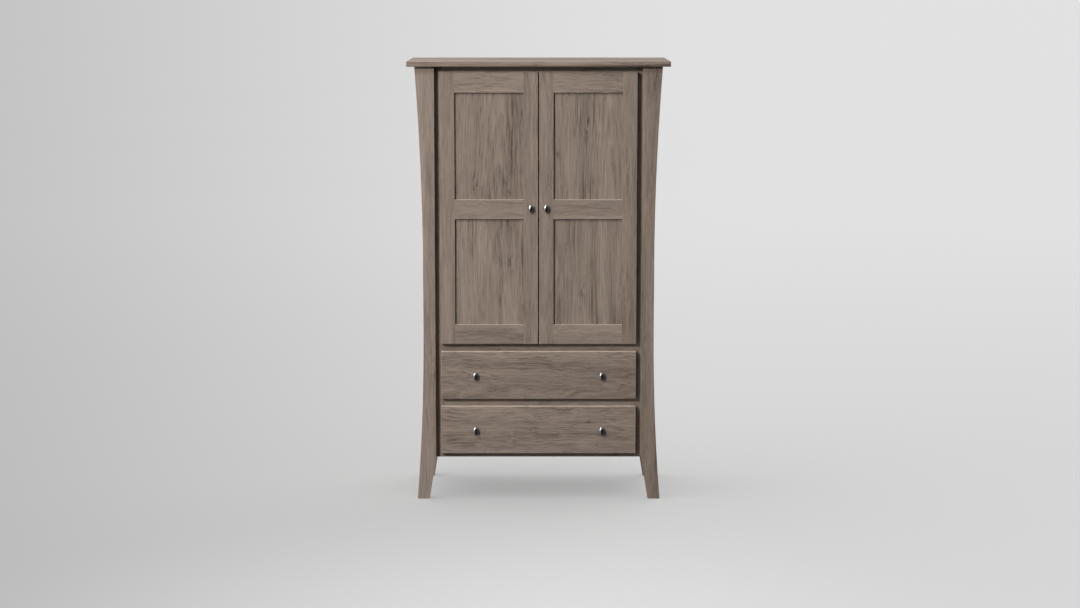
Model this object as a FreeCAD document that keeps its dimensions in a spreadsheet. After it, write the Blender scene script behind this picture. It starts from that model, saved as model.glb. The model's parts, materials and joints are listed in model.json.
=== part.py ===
import FreeCAD, Part
import math
import os
import re
import Sketcher

# A tall cabinet on four flared posts: two panelled doors over two drawers.
# Millimetres. +Z is up, the front faces -Y, the origin lies on the floor under the middle of the cabinet.
# The right-hand pieces are drawn; their left-hand twins are mirrored in the plane X = 0.

SIZES = {
    # slab and overall size
    "overall_height": 1854.2,
    "slab_length": 1098.6,
    "slab_thickness": 22.2,
    "slab_edge_radius": 2.5,
    "front_overhang": 20,
    "rear_overhang": 3,
    "carcass_depth": 511,
    # posts: straight at the waist, with an arc up to the slab and an arc down to the foot
    "leg_gap": 870,
    "leg_depth": 44.5,
    "leg_top_width": 82,
    "leg_waist_width": 50.6,
    "leg_foot_width": 50.8,
    "leg_foot_splay": 29.2,
    "leg_waist_low": 718,
    "leg_waist_high": 973,
    "leg_chamfer": 1.2,
    # case
    "case_bottom": 177.8,
    "side_thickness": 19,
    "side_setback": 9.5,
    "side_tongue": 8,
    "tongue_length": 10,
    "housing_depth": 6,
    "sub_top_thickness": 19,
    "deck_thickness": 19,
    "bottom_thickness": 12,
    "back_thickness": 6.4,
    "back_rabbet": 10,
    "cable_port_radius": 32,
    "cable_port_rise": 80,
    "cable_port_offset": 260,
    "joint_gap": 0.5,
    # shelf and its pins
    "shelf_thickness": 19,
    "shelf_rise": 760,
    "shelf_clearance": 1.5,
    "shelf_edge_radius": 2,
    "pin_radius": 2.5,
    "pin_clearance": 0.05,
    "pin_depth": 10,
    "pin_pitch": 32,
    "pin_inset": 60,
    "pin_pad_length": 12,
    "pin_pad_width": 10,
    "pin_pad_thickness": 3,
    # face frame and the layout of doors and drawers on it
    "frame_thickness": 19,
    "frame_overlap": 12,
    "frame_tenon": 8,
    "tenon_length": 15,
    "tenon_shoulder": 6,
    "side_reveal": 23.3,
    "top_reveal": 22.2,
    "bottom_reveal": 19,
    "row_gap": 31.7,
    "door_gap": 4.5,
    "door_standoff": 3,
    # doors
    "front_thickness": 19,
    "door_edge_radius": 0.8,
    "stile_width": 60.3,
    "top_rail_width": 85.5,
    "mid_rail_width": 82.8,
    "bottom_rail_width": 82.5,
    "panel_thickness": 6.4,
    "panel_recess": 8,
    "groove_depth": 10,
    # hinges
    "hinge_margin": 110,
    "hinge_height": 64,
    "hinge_inset": 4,
    "hinge_axis_depth": 11,
    "hinge_clearance": 0.5,
    "barrel_radius": 3,
    "barrel_height": 20,
    "barrel_play": 0.3,
    "hinge_pin_radius": 1.5,
    "hinge_pin_clearance": 0.05,
    "hinge_pin_head_radius": 2.6,
    "hinge_pin_head_height": 1.2,
    "leaf_thickness": 1.2,
    "leaf_arm_thickness": 3,
    "leaf_wrap": 16,
    "leaf_reach": 36,
    "screw_radius": 1.5,
    "screw_clearance": 0.05,
    "screw_length": 12,
    "screw_head_radius": 3,
    "screw_head_height": 1,
    "frame_screw_setback": 9,
    "frame_screw_spread": 44,
    "door_screw_first": 18,
    "door_screw_second": 29,
    # drawers
    "upper_front_height": 203.2,
    "lower_front_height": 203.2,
    "drawer_edge_radius": 1,
    "box_depth": 440,
    "box_lift": 12,
    "box_headroom": 16,
    "box_side_thickness": 12.7,
    "box_bottom_thickness": 6.4,
    "box_bottom_inset": 10,
    "box_groove": 6,
    "box_back_inset": 10,
    "front_housing": 8,
    # drawer slides
    "slide_thickness": 12.7,
    "slide_height": 45,
    "slide_inset": 3,
    "slide_gauge": 1.2,
    "slide_play": 0.3,
    "slide_lip_gap": 2,
    "cleat_height": 60,
    # knobs
    "knob_reach": 16.5,
    "knob_half_width": 11.2,
    "knob_half_height": 16.5,
    "knob_rim": 8.5,
    "knob_back_depth": 4.5,
    "knob_neck_radius": 4.6,
    "knob_foot_radius": 7.5,
    "knob_foot_height": 2,
    "knob_screw_radius": 2,
    "knob_screw_bite": 10,
    "knob_screw_head_radius": 4,
    "knob_screw_head_height": 2,
    "door_knob_inset": 29.8,
    "door_knob_rise": 4,
    "drawer_knob_offset": 267,
    "drawer_knob_drop": 3,
}

os.makedirs("parts", exist_ok=True)
doc = FreeCAD.newDocument("tv_armoire")
dims = doc.addObject("Spreadsheet::Sheet", "dims")
for row, (alias, value) in enumerate(SIZES.items(), start=1):
    dims.set(f"A{row}", alias)
    dims.set(f"B{row}", str(value))
    dims.setAlias(f"B{row}", alias)
doc.recompute()

V = FreeCAD.Vector
ALIAS = re.compile(r"\b(" + "|".join(sorted(SIZES, key=len, reverse=True)) + r")\b")
ALONG = {
    "x": FreeCAD.Rotation(V(0, 1, 0), 90),
    "y": FreeCAD.Rotation(V(1, 0, 0), -90),
    "z": FreeCAD.Rotation(),
}
# A knob stands out of the front: its own Z axis points to -Y.
FORWARDS = FreeCAD.Rotation(V(1, 0, 0), 90)
# A knob's oval head ends in a small flat at its tip, and in a shoulder round its neck (degrees from the rim).
KNOB_TIP_ANGLE = 84
KNOB_SHOULDER_ANGLE = -60
NODES = {}

# Formulas in the sheet's names, from the floor up and from the front to the back.
CASE_TOP = "(overall_height - slab_thickness)"
FACE = "((max(knob_reach; front_overhang) - carcass_depth - rear_overhang) / 2)"
FRONT_BACK = f"({FACE} + front_thickness)"
FRAME_FRONT = f"({FRONT_BACK} + door_standoff)"
FRAME_BACK = f"({FRAME_FRONT} + frame_thickness)"
LEG_BACK = f"({FACE} + leg_depth)"
BAY_FRONT = f"max({LEG_BACK}; {FRAME_BACK})"
BAY_BACK = f"({FACE} + carcass_depth - leg_depth)"
CASE_BACK = f"({FACE} + carcass_depth)"
BACK_FRONT = f"({CASE_BACK} - back_thickness)"
LEG_IN = "(leg_gap / 2)"
SIDE_OUT = f"({LEG_IN} + leg_waist_width - side_setback)"
SIDE_IN = f"({SIDE_OUT} - side_thickness)"
DOOR_OUT = f"({LEG_IN} - side_reveal)"
DOOR_IN = "(door_gap / 2)"
OPENING = f"({DOOR_OUT} - frame_overlap)"
LOWER_LOW = "(case_bottom + bottom_reveal)"
LOWER_HIGH = f"({LOWER_LOW} + lower_front_height)"
UPPER_LOW = f"({LOWER_HIGH} + row_gap)"
UPPER_HIGH = f"({UPPER_LOW} + upper_front_height)"
DOOR_LOW = f"({UPPER_HIGH} + row_gap)"
DOOR_HIGH = f"({CASE_TOP} - top_reveal)"
DECK_TOP = f"({DOOR_LOW} + frame_overlap)"
SHELF_LOW = f"({DECK_TOP} + shelf_rise)"
BOX_END = f"({FRONT_BACK} + box_depth)"


def bind(thing, prop, text):
    """Ties a property to a formula of the sheet's sizes."""
    thing.setExpression(prop, ALIAS.sub(r"dims.\1", text))


def both(half):
    """A span of the given half-width about the middle."""
    return (f"-({half})", half)


def around(middle, length):
    """A span of the given length about its middle."""
    return (f"({middle}) - ({length}) / 2", f"({middle}) + ({length}) / 2")


def node(name, thing):
    """Makes an object a finished piece of the cabinet."""
    thing.Label = name
    NODES[name] = thing
    return thing


def box(name, x, y, z):
    """A squared block from three (low, high) spans."""
    block = doc.addObject("Part::Box", name)
    for size, axis, (low, high) in zip(("Length", "Width", "Height"), "xyz", (x, y, z)):
        bind(block, size, f"({high}) - ({low})")
        bind(block, f"Placement.Base.{axis}", low)
    return block


def rod(name, axis, start, radius, length):
    """A cylinder that starts at a point and runs along an axis."""
    bar = doc.addObject("Part::Cylinder", name)
    bar.Placement.Rotation = ALONG[axis]
    for letter, text in zip("xyz", start):
        bind(bar, f"Placement.Base.{letter}", text)
    bind(bar, "Radius", radius)
    bind(bar, "Height", length)
    return bar


def fuse(name, pieces):
    whole = doc.addObject("Part::MultiFuse", name)
    whole.Shapes = pieces
    whole.Refine = True
    return whole


def cut(name, blank, tools):
    """The blank with the tools' shapes taken out of it."""
    whole = doc.addObject("Part::Cut", name)
    whole.Base = blank
    whole.Tool = tools[0] if len(tools) == 1 else fuse(f"{name}_tools", tools)
    whole.Refine = True
    return whole


def mirror(name, source, axis="x", plane="0"):
    """The twin of a piece, on the other side of a plane square to the axis."""
    twin = doc.addObject("Part::Mirroring", name)
    twin.Source = source
    twin.Normal = V(1, 0, 0) if axis == "x" else V(0, 0, 1)
    bind(twin, f"Base.{axis}", plane)
    return twin


def group(name, pieces):
    bundle = doc.addObject("Part::Compound", name)
    bundle.Links = pieces
    return bundle


def pair(right, shape):
    """The right-hand piece and its left-hand twin, as two finished pieces."""
    node(right, shape)
    left = right.replace("right", "left")
    node(left, mirror(left, shape))


def origin_plane(body, role):
    return next(f for f in body.Origin.OriginFeatures if f.Role == role)


def sketch_on(body, name, role):
    sketch = body.newObject("Sketcher::SketchObject", name)
    sketch.AttachmentSupport = [(origin_plane(body, role), "")]
    sketch.MapMode = "FlatFace"
    return sketch


def pin_down(sketch, edge, end, spot, first_guess):
    """Ties one end of an edge to a spot given by two formulas."""
    for kind, text, guess in zip(("DistanceX", "DistanceY"), spot, first_guess):
        index = sketch.addConstraint(Sketcher.Constraint(kind, -1, 1, edge, end, guess))
        bind(sketch, f"Constraints[{index}]", text)


def ease(body, blank, radius, wanted, kind="Fillet"):
    """Rounds or chamfers those edges of the blank whose middle passes the test."""
    doc.recompute()
    bounds = blank.Shape.BoundBox
    names = []
    for index, edge in enumerate(blank.Shape.Edges, start=1):
        middle = edge.valueAt((edge.FirstParameter + edge.LastParameter) / 2)
        if wanted(middle, bounds):
            names.append(f"Edge{index}")
    easing = body.newObject(f"PartDesign::{kind}", f"{body.Name}_easing")
    easing.Base = (blank, names)
    bind(easing, "Radius" if kind == "Fillet" else "Size", radius)
    body.Tip = easing


def same(first, second):
    return abs(first - second) < 0.001


def eased_board(name, x, y, z, radius, wanted):
    """A board sawn to a rectangle seen from the front, as thick as the y span, with some edges eased."""
    body = doc.addObject("PartDesign::Body", name)
    sketch = sketch_on(body, f"{name}_outline", "XZ_Plane")
    bind(sketch, "AttachmentOffset.Base.z", f"-({y[0]})")
    spots = [(x[0], z[0]), (x[1], z[0]), (x[1], z[1]), (x[0], z[1])]
    guesses = [(0, 0), (10, 0), (10, 10), (0, 10)]
    for start, stop in zip(guesses, guesses[1:] + guesses[:1]):
        sketch.addGeometry(Part.LineSegment(V(*start, 0), V(*stop, 0)), False)
    for edge in range(4):
        sketch.addConstraint(Sketcher.Constraint("Coincident", edge, 2, (edge + 1) % 4, 1))
    for edge, (spot, guess) in enumerate(zip(spots, guesses)):
        pin_down(sketch, edge, 1, spot, guess)
    pad = body.newObject("PartDesign::Pad", f"{name}_pad")
    pad.Profile = sketch
    pad.Reversed = True
    bind(pad, "Length", f"({y[1]}) - ({y[0]})")
    ease(body, pad, radius, wanted)
    return body


def flared_post(name, y):
    """A post sawn to its flared outline, with its long edges eased."""
    size = dims.get
    inner = size("leg_gap") / 2
    top = size("overall_height") - size("slab_thickness")
    waist = inner + size("leg_waist_width")
    spots = [
        (LEG_IN, CASE_TOP),
        (f"{LEG_IN} + leg_top_width", CASE_TOP),
        (f"{LEG_IN} + leg_waist_width", "leg_waist_high"),
        (f"{LEG_IN} + leg_waist_width", "leg_waist_low"),
        (f"{LEG_IN} + leg_foot_splay + leg_foot_width", "0"),
        (f"{LEG_IN} + leg_foot_splay", "0"),
        (LEG_IN, "case_bottom"),
    ]
    guesses = [
        (inner, top),
        (inner + size("leg_top_width"), top),
        (waist, size("leg_waist_high")),
        (waist, size("leg_waist_low")),
        (inner + size("leg_foot_splay") + size("leg_foot_width"), 0),
        (inner + size("leg_foot_splay"), 0),
        (inner, size("case_bottom")),
    ]

    def waist_arc(tip, root, upwards):
        """An arc that leaves the straight waist upright and ends at a tip further out."""
        rise = abs(tip[1] - root[1])
        flare = tip[0] - root[0]
        radius = (rise ** 2 + flare ** 2) / (2 * flare)
        turn = math.asin(rise / radius)
        circle = Part.Circle(V(root[0] + radius, root[1], 0), V(0, 0, 1), radius)
        if upwards:
            return Part.ArcOfCircle(circle, math.pi - turn, math.pi)
        return Part.ArcOfCircle(circle, math.pi, math.pi + turn)

    body = doc.addObject("PartDesign::Body", name)
    sketch = sketch_on(body, f"{name}_outline", "XZ_Plane")
    bind(sketch, "AttachmentOffset.Base.z", f"-({y[0]})")
    for edge, (start, stop) in enumerate(zip(guesses, guesses[1:] + guesses[:1])):
        if edge == 1:
            sketch.addGeometry(waist_arc(start, stop, True), False)
        elif edge == 3:
            sketch.addGeometry(waist_arc(stop, start, False), False)
        else:
            sketch.addGeometry(Part.LineSegment(V(*start, 0), V(*stop, 0)), False)
    for edge in range(7):
        smooth = edge in (1, 2)
        kind = "Tangent" if smooth else "Coincident"
        sketch.addConstraint(Sketcher.Constraint(kind, edge, 2, (edge + 1) % 7, 1))
    for edge, (spot, guess) in enumerate(zip(spots, guesses)):
        pin_down(sketch, edge, 1, spot, guess)
    pad = body.newObject("PartDesign::Pad", f"{name}_pad")
    pad.Profile = sketch
    pad.Reversed = True
    bind(pad, "Length", f"({y[1]}) - ({y[0]})")
    outer = inner + size("leg_waist_width") - 1

    def long_outer_edge(middle, bounds):
        on_face = same(middle.y, bounds.YMin) or same(middle.y, bounds.YMax)
        on_end = same(middle.z, bounds.ZMin) or same(middle.z, bounds.ZMax)
        return on_face and not on_end and middle.x > outer

    ease(body, pad, "leg_chamfer", long_outer_edge, "Chamfer")
    return body


def build_case():
    slab = eased_board(
        "top_slab",
        both("slab_length / 2"),
        (f"{FACE} - front_overhang", f"{CASE_BACK} + rear_overhang"),
        (CASE_TOP, "overall_height"),
        "slab_edge_radius",
        lambda middle, bounds: True,
    )
    node("top_slab", slab)

    upright = ("case_bottom", CASE_TOP)
    tongue_x = around(f"{SIDE_OUT} - side_thickness / 2", "side_tongue")
    front_groove = (f"{LEG_BACK} - tongue_length - joint_gap", LEG_BACK)
    rear_groove = (BAY_BACK, f"{BAY_BACK} + tongue_length + joint_gap")
    front_leg = cut(
        "front_right_leg",
        flared_post("front_right_post", (FACE, LEG_BACK)),
        [box("front_leg_groove", tongue_x, front_groove, upright)],
    )
    pair("front_right_leg", front_leg)
    rear_leg = cut(
        "rear_right_leg",
        flared_post("rear_right_post", (BAY_BACK, CASE_BACK)),
        [
            box("rear_leg_groove", tongue_x, rear_groove, upright),
            box("rear_leg_rabbet", (LEG_IN, f"{LEG_IN} + back_rabbet"), (BACK_FRONT, CASE_BACK), upright),
        ],
    )
    pair("rear_right_leg", rear_leg)

    levels = {
        "sub_top": (f"{CASE_TOP} - sub_top_thickness", CASE_TOP),
        "deck_panel": (f"{DECK_TOP} - deck_thickness", DECK_TOP),
        "bottom_panel": ("case_bottom", "case_bottom + bottom_thickness"),
    }
    housings = []
    for name, level in levels.items():
        middle = box(f"{name}_middle", both(LEG_IN), (FRAME_BACK, BACK_FRONT), level)
        wings = box(f"{name}_wings", both(f"{SIDE_IN} + housing_depth"), (BAY_FRONT, BAY_BACK), level)
        node(name, fuse(name, [middle, wings]))
        housing_x = (SIDE_IN, f"{SIDE_IN} + housing_depth")
        housings.append(box(f"{name}_housing", housing_x, (BAY_FRONT, BAY_BACK), level))

    pin_z = f"({SHELF_LOW} - pin_pad_thickness)"
    pin_spots = {
        "front": f"({BAY_FRONT} + pin_inset)",
        "rear": f"({BAY_BACK} - pin_inset)",
    }
    hole_radius = "pin_radius + pin_clearance"
    pin_holes = []
    for end, pin_y in pin_spots.items():
        for step in range(-2, 3):
            start = (SIDE_IN, pin_y, f"{pin_z} + {step} * pin_pitch")
            hole_name = f"pin_hole_{end}_{step + 3}"
            pin_holes.append(rod(hole_name, "x", start, hole_radius, "pin_depth + joint_gap"))
    tongue_y = (f"{LEG_BACK} - tongue_length", f"{BAY_BACK} + tongue_length")
    side = fuse(
        "right_side_blank",
        [
            box("side_board", (SIDE_IN, SIDE_OUT), (LEG_BACK, BAY_BACK), upright),
            box("side_tongues", tongue_x, tongue_y, upright),
        ],
    )
    pair("right_side_panel", cut("right_side_panel", side, housings + pin_holes))

    back = box("back_sheet", both(f"{LEG_IN} + back_rabbet"), (BACK_FRONT, CASE_BACK), upright)
    ports = []
    for side, port_x in (("right", "cable_port_offset"), ("left", "-cable_port_offset")):
        start = (port_x, BACK_FRONT, f"{DECK_TOP} + cable_port_rise")
        ports.append(rod(f"{side}_port", "y", start, "cable_port_radius", "back_thickness"))
    node("back_panel", cut("back_panel", back, ports))

    shelf = eased_board(
        "tv_shelf",
        both(f"{SIDE_IN} - shelf_clearance"),
        (f"{BAY_FRONT} + shelf_clearance", f"{BAY_BACK} - shelf_clearance"),
        (SHELF_LOW, f"{SHELF_LOW} + shelf_thickness"),
        "shelf_edge_radius",
        lambda middle, bounds: same(middle.y, bounds.YMin) and not same(abs(middle.x), bounds.XMax),
    )
    node("tv_shelf", shelf)
    pins = []
    for end, pin_y in pin_spots.items():
        pad_x = (f"{SIDE_IN} - pin_pad_length", SIDE_IN)
        pad = box(f"{end}_pin_pad", pad_x, around(pin_y, "pin_pad_width"), (pin_z, SHELF_LOW))
        start = (f"{SIDE_IN} - pin_pad_thickness", pin_y, pin_z)
        shank = rod(f"{end}_pin_shank", "x", start, "pin_radius", "pin_depth + pin_pad_thickness")
        pin = fuse(f"{end}_pin_right", [pad, shank])
        pins += [pin, mirror(f"{end}_pin_left", pin)]
    node("shelf_pins", group("shelf_pins", pins))


def build_face_frame():
    frame_y = (FRAME_FRONT, FRAME_BACK)
    tenon_y = around(f"{FRAME_FRONT} + frame_thickness / 2", "frame_tenon")
    rails = {
        "frame_top_rail": (f"{DOOR_HIGH} - frame_overlap", CASE_TOP),
        "frame_deck_rail": (f"{UPPER_HIGH} - frame_overlap", DECK_TOP),
        "frame_drawer_rail": (f"{LOWER_HIGH} - frame_overlap", f"{UPPER_LOW} + frame_overlap"),
        "frame_bottom_rail": ("case_bottom", f"{LOWER_LOW} + frame_overlap"),
    }
    mortises = []
    for name, (low, high) in rails.items():
        tenon_z = (f"{low} + tenon_shoulder", f"{high} - tenon_shoulder")
        rail = box(f"{name}_board", both(OPENING), frame_y, (low, high))
        tenon = box(f"{name}_tenon", both(f"{OPENING} + tenon_length"), tenon_y, tenon_z)
        node(name, fuse(name, [rail, tenon]))
        mortise_x = (OPENING, f"{OPENING} + tenon_length + joint_gap")
        mortises.append(box(f"{name}_mortise", mortise_x, tenon_y, tenon_z))
    stile = box("frame_stile_board", (OPENING, LEG_IN), frame_y, ("case_bottom", CASE_TOP))
    pilots = [rod(name, "x", start, "screw_radius + screw_clearance", "screw_length + joint_gap")
              for name, start in frame_screw_spots("frame_pilot")]
    pair("frame_right_stile", cut("frame_right_stile", stile, mortises + pilots))


HINGE_X = f"({DOOR_OUT} - hinge_inset)"
HINGE_Y = f"({FACE} + hinge_axis_depth)"
HINGE_LEVELS = {
    "top": f"({DOOR_HIGH} - hinge_margin)",
    "mid": f"(({DOOR_HIGH} + {DOOR_LOW}) / 2)",
    "low": f"({DOOR_LOW} + hinge_margin)",
}


def frame_screw_spots(name):
    """Where the hinge screws enter the inner edge of the right-hand frame stile."""
    for level, middle in HINGE_LEVELS.items():
        for end, height in zip(("low", "high"), around(middle, "frame_screw_spread")):
            yield f"{name}_{level}_{end}", (OPENING, f"{FRAME_FRONT} + frame_screw_setback", height)


def door_screw_spots(name):
    """Where the hinge screws enter the back of the right-hand door's hinge stile."""
    for level, middle in HINGE_LEVELS.items():
        for offset in ("door_screw_first", "door_screw_second"):
            yield f"{name}_{level}_{offset}", (f"{HINGE_X} - {offset}", FRONT_BACK, middle)


def build_hinges():
    """Three wrap-round hinges on each side; their barrels sit in notches behind the doors' outer edges."""
    plate_front = f"({FRAME_FRONT} - leaf_thickness)"
    plate_x = (OPENING, f"{HINGE_X} + barrel_radius")
    arm_x = around(HINGE_X, "leaf_arm_thickness")
    pin_bore = "hinge_pin_radius + hinge_pin_clearance"
    frame_leaves = []
    door_leaves = []
    pins = []
    for level, middle in HINGE_LEVELS.items():
        low, high = around(middle, "hinge_height")
        gap_low, gap_high = around(middle, "barrel_height + 2 * barrel_play")
        plate = box(f"{level}_plate", plate_x, (plate_front, FRAME_FRONT), (low, high))
        wrap_x = (f"{OPENING} - leaf_thickness", OPENING)
        wrap = box(f"{level}_wrap", wrap_x, (plate_front, f"{FRAME_FRONT} + leaf_wrap"), (low, high))
        ears = []
        bores = []
        for end, ear_z in (("lower", (low, gap_low)), ("upper", (gap_high, high))):
            ears.append(box(f"{level}_{end}_arm", arm_x, (HINGE_Y, FRAME_FRONT), ear_z))
            start = (HINGE_X, HINGE_Y, ear_z[0])
            height = f"({ear_z[1]}) - ({ear_z[0]})"
            ears.append(rod(f"{level}_{end}_barrel", "z", start, "barrel_radius", height))
            bores.append(rod(f"{level}_{end}_bore", "z", start, pin_bore, height))
        for end, height in zip(("low", "high"), around(middle, "frame_screw_spread")):
            start = (f"{OPENING} - leaf_thickness", f"{FRAME_FRONT} + frame_screw_setback", height)
            hole = f"{level}_{end}_plate_hole"
            bores.append(rod(hole, "x", start, "screw_radius + screw_clearance", "leaf_thickness"))
        leaf = cut(f"{level}_frame_leaf", fuse(f"{level}_frame_leaf_blank", [plate, wrap] + ears), bores)
        frame_leaves += [leaf, mirror(f"{level}_frame_leaf_left", leaf)]

        knuckle_z = around(middle, "barrel_height")
        start = (HINGE_X, HINGE_Y, knuckle_z[0])
        knuckle = rod(f"{level}_knuckle", "z", start, "barrel_radius", "barrel_height")
        arm = box(f"{level}_door_arm", arm_x, (HINGE_Y, f"{FRONT_BACK} + leaf_thickness"), knuckle_z)
        reach_x = (f"{HINGE_X} - leaf_reach", f"{HINGE_X} + leaf_arm_thickness / 2")
        tongue_y = (FRONT_BACK, f"{FRONT_BACK} + leaf_thickness")
        tongue = box(f"{level}_door_plate", reach_x, tongue_y, knuckle_z)
        bores = [rod(f"{level}_knuckle_bore", "z", start, pin_bore, "barrel_height")]
        for offset in ("door_screw_first", "door_screw_second"):
            start = (f"{HINGE_X} - {offset}", FRONT_BACK, middle)
            hole = f"{level}_{offset}_hole"
            bores.append(rod(hole, "y", start, "screw_radius + screw_clearance", "leaf_thickness"))
        blank = fuse(f"{level}_door_leaf_blank", [knuckle, arm, tongue])
        door_leaves.append(cut(f"{level}_door_leaf", blank, bores))

        shank = rod(f"{level}_pin_shank", "z", (HINGE_X, HINGE_Y, low), "hinge_pin_radius", "hinge_height")
        head_start = (HINGE_X, HINGE_Y, high)
        head = rod(f"{level}_pin_head", "z", head_start, "hinge_pin_head_radius", "hinge_pin_head_height")
        pin = fuse(f"{level}_pin", [shank, head])
        pins += [pin, mirror(f"{level}_pin_left", pin)]
    node("hinge_frame_leaves", group("hinge_frame_leaves", frame_leaves))
    node("hinge_pins", group("hinge_pins", pins))
    pair("right_door_hinge_leaves", group("right_door_hinge_leaves", door_leaves))

    frame_screws = []
    for name, (x, y, z) in frame_screw_spots("frame_screw"):
        outer = f"{x} - leaf_thickness"
        shank = rod(f"{name}_shank", "x", (outer, y, z), "screw_radius", "leaf_thickness + screw_length")
        head_start = (f"{outer} - screw_head_height", y, z)
        head = rod(f"{name}_head", "x", head_start, "screw_head_radius", "screw_head_height")
        screw = fuse(name, [shank, head])
        frame_screws += [screw, mirror(f"{name}_left", screw)]
    node("hinge_frame_screws", group("hinge_frame_screws", frame_screws))
    door_screws = []
    for name, (x, y, z) in door_screw_spots("door_screw"):
        shank_start = (x, f"{y} - screw_length", z)
        shank = rod(f"{name}_shank", "y", shank_start, "screw_radius", "leaf_thickness + screw_length")
        head_start = (x, f"{y} + leaf_thickness", z)
        head = rod(f"{name}_head", "y", head_start, "screw_head_radius", "screw_head_height")
        door_screws.append(fuse(name, [shank, head]))
    pair("right_door_hinge_screws", group("right_door_hinge_screws", door_screws))


def build_door():
    depth = (FACE, FRONT_BACK)
    height = (DOOR_LOW, DOOR_HIGH)
    groove_y = (f"{FACE} + panel_recess", f"{FACE} + panel_recess + panel_thickness")
    panel_x = (f"({DOOR_IN} + stile_width)", f"({DOOR_OUT} - stile_width)")
    top_low = f"({DOOR_HIGH} - top_rail_width)"
    bottom_high = f"({DOOR_LOW} + bottom_rail_width)"
    mid_low, mid_high = (f"({end})" for end in around(f"({top_low} + {bottom_high}) / 2", "mid_rail_width"))
    knob_x = f"({DOOR_IN} + door_knob_inset)"
    knob_z = f"(({mid_low} + {mid_high}) / 2 + door_knob_rise)"

    def outer_front(keep):
        """Picks the front edges that lie on the outline of the whole door."""
        def wanted(middle, bounds):
            return same(middle.y, bounds.YMin) and keep(middle, bounds)
        return wanted

    stile_x = (f"{DOOR_OUT} - stile_width", DOOR_OUT)
    stile = eased_board("hinge_stile_board", stile_x, depth, height, "door_edge_radius",
                        outer_front(lambda middle, bounds: not same(middle.x, bounds.XMin)))
    groove_x = (panel_x[1], f"{panel_x[1]} + groove_depth")
    tools = [box("hinge_stile_groove", groove_x, groove_y, height)]
    notch_low = f"{HINGE_X} - barrel_radius - hinge_clearance"
    notch_front = f"{HINGE_Y} - barrel_radius - hinge_clearance"
    notch_height = "hinge_height + 2 * (hinge_pin_head_height + hinge_clearance)"
    for level, middle in HINGE_LEVELS.items():
        notch_z = around(middle, notch_height)
        tools.append(box(f"{level}_notch", (notch_low, DOOR_OUT), (notch_front, FRONT_BACK), notch_z))
    for name, (x, y, z) in door_screw_spots("door_pilot"):
        start = (x, f"{y} - screw_length - joint_gap", z)
        tools.append(rod(name, "y", start, "screw_radius + screw_clearance", "screw_length + joint_gap"))
    pair("right_door_hinge_stile", cut("right_door_hinge_stile", stile, tools))

    stile_x = (DOOR_IN, f"{DOOR_IN} + stile_width")
    stile = eased_board("meeting_stile_board", stile_x, depth, height, "door_edge_radius",
                        outer_front(lambda middle, bounds: not same(middle.x, bounds.XMax)))
    groove_x = (f"{panel_x[0]} - groove_depth", panel_x[0])
    knob_hole = "knob_screw_radius + joint_gap"
    tools = [
        box("meeting_stile_groove", groove_x, groove_y, height),
        rod("door_knob_hole", "y", (knob_x, FACE, knob_z), knob_hole, "front_thickness"),
    ]
    pair("right_door_meeting_stile", cut("right_door_meeting_stile", stile, tools))

    tongue_x = (f"{panel_x[0]} - groove_depth + joint_gap", f"{panel_x[1]} + groove_depth - joint_gap")
    rails = {
        "top_rail": ((top_low, DOOR_HIGH), ["low"]),
        "mid_rail": ((mid_low, mid_high), ["low", "high"]),
        "bottom_rail": ((DOOR_LOW, bottom_high), ["high"]),
    }
    for name, (level, grooved) in rails.items():
        if name == "mid_rail":
            board = box(f"{name}_board", panel_x, depth, level)
        else:
            outline_edge = "ZMax" if name == "top_rail" else "ZMin"
            board = eased_board(
                f"{name}_board", panel_x, depth, level, "door_edge_radius",
                outer_front(lambda middle, bounds, end=outline_edge: same(middle.z, getattr(bounds, end))),
            )
        blank = fuse(f"{name}_blank", [board, box(f"{name}_tongues", tongue_x, groove_y, level)])
        spans = {
            "low": (level[0], f"{level[0]} + groove_depth"),
            "high": (f"{level[1]} - groove_depth", level[1]),
        }
        grooves = [box(f"{name}_{end}_groove", tongue_x, groove_y, spans[end]) for end in grooved]
        piece = f"right_door_{name}"
        pair(piece, cut(piece, blank, grooves))

    panels = {"upper_panel": (mid_high, top_low), "lower_panel": (bottom_high, mid_low)}
    for name, (low, high) in panels.items():
        span = (f"{low} - groove_depth + joint_gap", f"{high} + groove_depth - joint_gap")
        piece = f"right_door_{name}"
        pair(piece, box(piece, tongue_x, groove_y, span))

    pair("right_door_knob", group("right_door_knob", knob_and_screw("door", knob_x, knob_z)))


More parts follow.
